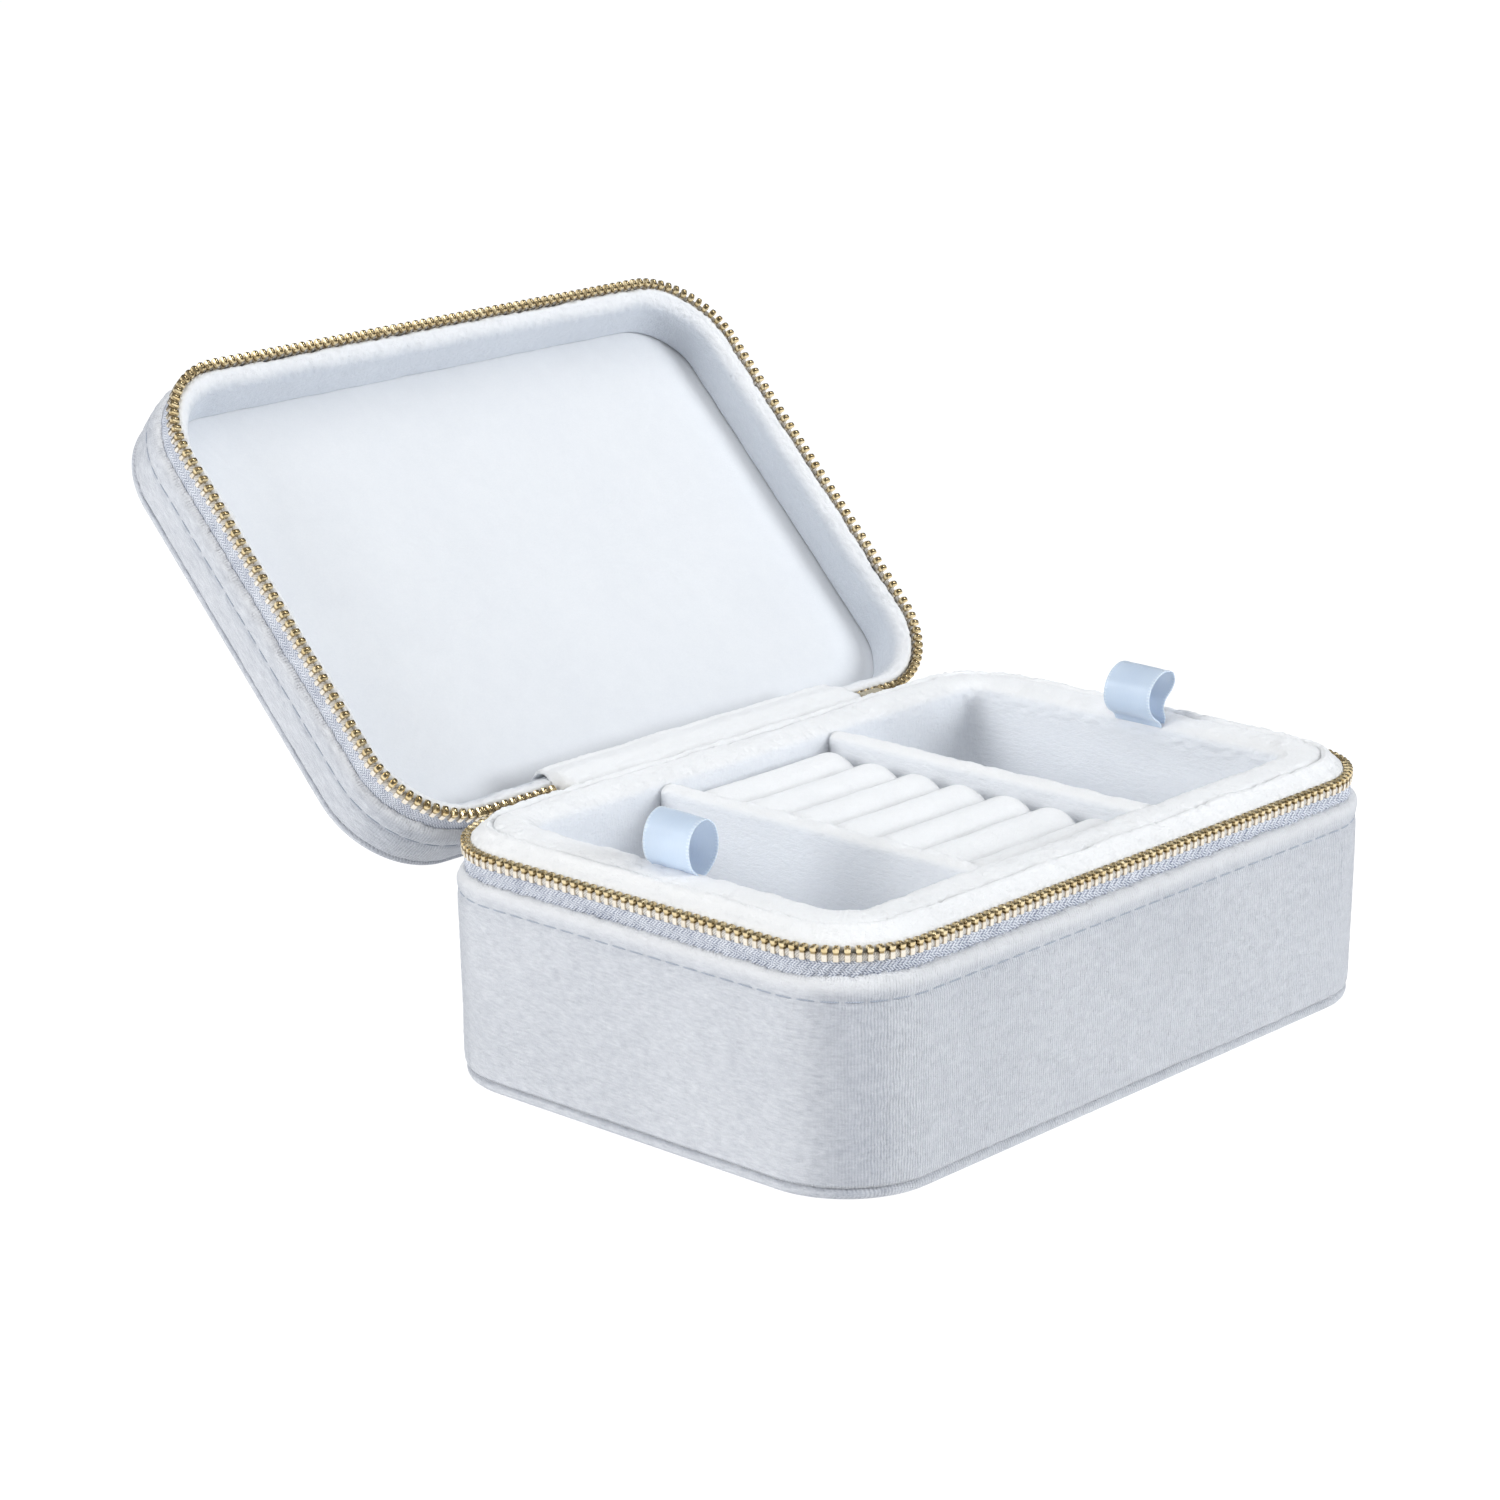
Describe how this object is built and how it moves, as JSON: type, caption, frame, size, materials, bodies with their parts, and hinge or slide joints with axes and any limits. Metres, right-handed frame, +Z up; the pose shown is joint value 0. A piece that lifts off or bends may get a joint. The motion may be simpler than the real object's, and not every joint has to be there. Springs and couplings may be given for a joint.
{
  "type": "jewelry box",
  "caption": "Velvet zip-around travel jewelry case standing open, with a padded lid and a lift-out tray of ring rolls between two compartments.",
  "frame": {"origin": "on the surface the case stands on, under the middle of the base", "axes": "+X to the right along the long front side, +Y from the front to the hinge at the back, +Z up"},
  "size_m": [0.17, 0.2103, 0.132],
  "materials": {
    "outer_velvet": "short matt velvet pile with a soft sheen, pale ice blue",
    "lining_velvet": "short matt velvet pile, pale ice blue, lighter than outside",
    "zip_tape": "woven twill tape, dull blue-grey",
    "gold_metal": "polished pale gold",
    "satin_ribbon": "glossy satin weave, light blue",
    "board": "raw grey-brown board, hidden inside the walls"
  },
  "bodies": {
    "base": {"base_cover": "outer_velvet", "base_wall_board": "board", "bottom_cover": "outer_velvet", "bottom_board": "board", "base_floor_lining": "lining_velvet", "base_lining": "lining_velvet", "tray_ledge": "lining_velvet", "zip_tape_base": "zip_tape", "zip_teeth_base": "gold_metal", "hinge_strip_base": "outer_velvet"},
    "lid": {"lid_cover": "outer_velvet", "lid_wall_board": "board", "lid_top_cover": "outer_velvet", "lid_top_board": "board", "lid_inner_pad": "lining_velvet", "lid_lining": "lining_velvet", "zip_tape_lid": "zip_tape", "zip_teeth_lid": "gold_metal", "hinge_strip_lid": "outer_velvet"},
    "tray": {"tray_frame": "lining_velvet", "tray_board": "board", "tray_floor": "lining_velvet", "divider_left": "lining_velvet", "divider_right": "lining_velvet", "ring_base": "lining_velvet", "ring_roll_1": "lining_velvet", "ring_roll_2": "lining_velvet", "ring_roll_3": "lining_velvet", "ring_roll_4": "lining_velvet", "ring_roll_5": "lining_velvet", "ring_roll_6": "lining_velvet", "ring_roll_7": "lining_velvet", "pull_ribbon_left": "satin_ribbon", "pull_ribbon_right": "satin_ribbon"},
    "slider": {"zip_slider": "gold_metal"},
    "puller": {"zip_puller": "gold_metal"}
  },
  "joints": [
    {"name": "lid_hinge", "type": "hinge", "parent": "base", "child": "lid", "pos_m": [0, 0.0577, 0.0494], "axis": [1, 0, 0], "range_deg": [0, 133.9]},
    {"name": "tray_lift", "type": "slide", "parent": "base", "child": "tray", "axis": [0, 0, 1], "range_m": [0, 0.06]},
    {"name": "zip_slide", "type": "slide", "parent": "base", "child": "slider", "axis": [1, 0, 0], "range_m": [0, 0.008]},
    {"name": "puller_swing", "type": "hinge", "parent": "slider", "child": "puller", "pos_m": [0.0511, 0.0598, 0.0451], "axis": [1, 0, 0], "range_deg": [0, 30]}
  ]
}
